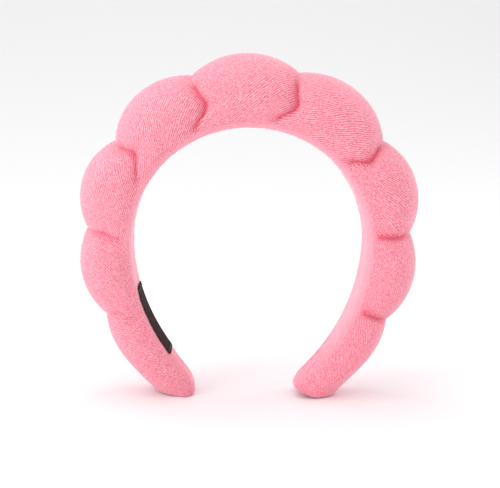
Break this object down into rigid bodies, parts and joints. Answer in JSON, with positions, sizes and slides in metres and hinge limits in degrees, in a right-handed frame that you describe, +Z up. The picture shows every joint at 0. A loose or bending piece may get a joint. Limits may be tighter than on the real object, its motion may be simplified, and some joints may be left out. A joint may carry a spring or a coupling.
{
  "type": "spa headband",
  "caption": "Padded terry hair hoop, cinched into puffs over a springy flat inner hoop, that holds hair back and stands on its two ends.",
  "frame": {"origin": "on the resting plane, under the middle of the arch", "axes": "+Z up from the two tips to the crown, +X to the right seen from the front, the front faces -Y"},
  "size_m": [0.176, 0.0468, 0.1777],
  "materials": {
    "terry": "fine looped terry towelling, rose pink",
    "lining": "short smooth plush, light rose pink",
    "foam": "open-cell polyurethane foam, cream",
    "hoop_plastic": "natural polypropylene, satin",
    "tape_foam": "closed-cell foam tape",
    "guard_rubber": "soft moulded rubber",
    "thread": "polyester sewing thread, rose",
    "label": "woven ribbon, charcoal, plain",
    "label_thread": "polyester sewing thread, charcoal"
  },
  "bodies": {
    "crown": {"crown_cover": "terry", "crown_foam": "foam", "hoop_core": "hoop_plastic", "hoop_tape": "tape_foam", "lining_strip": "lining", "lining_seam_front": "thread", "lining_seam_rear": "thread", "left_tie_1": "thread", "right_tie_1": "thread"},
    "right_upper": {"right_upper_cover": "terry", "right_upper_foam": "foam", "right_tie_2": "thread"},
    "right_mid": {"right_mid_cover": "terry", "right_mid_foam": "foam", "right_tie_3": "thread"},
    "right_low": {"right_low_cover": "terry", "right_low_foam": "foam", "right_tie_4": "thread"},
    "right_end": {"right_end_cover": "terry", "right_end_foam": "foam", "right_tip_guard": "guard_rubber", "right_end_seam": "thread"},
    "left_upper": {"left_upper_cover": "terry", "left_upper_foam": "foam", "left_tie_2": "thread"},
    "left_mid": {"left_mid_cover": "terry", "left_mid_foam": "foam", "left_tie_3": "thread"},
    "left_low": {"left_low_cover": "terry", "left_low_foam": "foam", "left_tie_4": "thread"},
    "left_end": {"left_end_cover": "terry", "left_end_foam": "foam", "left_tip_guard": "guard_rubber", "left_end_seam": "thread", "label_ribbon": "label", "label_stitch_upper": "label_thread", "label_stitch_lower": "label_thread"}
  },
  "joints": [
    {"name": "right_upper_flex", "type": "hinge", "parent": "crown", "child": "right_upper", "pos_m": [0.01918, 0, 0.14175], "axis": [0, -1, 0], "range_deg": [-4, 9.5], "stiffness_Nm_per_rad": 0.35, "deforming": ["hoop_core", "hoop_tape", "lining_strip", "lining_seam_front", "lining_seam_rear"]},
    {"name": "right_mid_flex", "type": "hinge", "parent": "right_upper", "child": "right_mid", "pos_m": [0.05051, 0, 0.11981], "axis": [0, -1, 0], "range_deg": [-3.4, 8.07], "stiffness_Nm_per_rad": 0.35},
    {"name": "right_low_flex", "type": "hinge", "parent": "right_mid", "child": "right_low", "pos_m": [0.06349, 0, 0.08619], "axis": [0, -1, 0], "range_deg": [-2.4, 5.7], "stiffness_Nm_per_rad": 0.35},
    {"name": "right_end_flex", "type": "hinge", "parent": "right_low", "child": "right_end", "pos_m": [0.05743, 0, 0.04775], "axis": [0, -1, 0], "range_deg": [-1.4, 3.33], "stiffness_Nm_per_rad": 0.35},
    {"name": "left_upper_flex", "type": "hinge", "parent": "crown", "child": "left_upper", "pos_m": [-0.01918, 0, 0.14175], "axis": [0, 1, 0], "range_deg": [-4, 9.5], "stiffness_Nm_per_rad": 0.35, "deforming": ["hoop_core", "hoop_tape", "lining_strip", "lining_seam_front", "lining_seam_rear"]},
    {"name": "left_mid_flex", "type": "hinge", "parent": "left_upper", "child": "left_mid", "pos_m": [-0.05051, 0, 0.11981], "axis": [0, 1, 0], "range_deg": [-3.4, 8.07], "stiffness_Nm_per_rad": 0.35},
    {"name": "left_low_flex", "type": "hinge", "parent": "left_mid", "child": "left_low", "pos_m": [-0.06349, 0, 0.08619], "axis": [0, 1, 0], "range_deg": [-2.4, 5.7], "stiffness_Nm_per_rad": 0.35},
    {"name": "left_end_flex", "type": "hinge", "parent": "left_low", "child": "left_end", "pos_m": [-0.05743, 0, 0.04775], "axis": [0, 1, 0], "range_deg": [-1.4, 3.33], "stiffness_Nm_per_rad": 0.35}
  ],
  "couplings": [
    {"joint": "right_mid_flex", "follows": "right_upper_flex", "ratio": 0.85},
    {"joint": "right_low_flex", "follows": "right_upper_flex", "ratio": 0.6},
    {"joint": "right_end_flex", "follows": "right_upper_flex", "ratio": 0.35},
    {"joint": "left_mid_flex", "follows": "left_upper_flex", "ratio": 0.85},
    {"joint": "left_low_flex", "follows": "left_upper_flex", "ratio": 0.6},
    {"joint": "left_end_flex", "follows": "left_upper_flex", "ratio": 0.35}
  ]
}
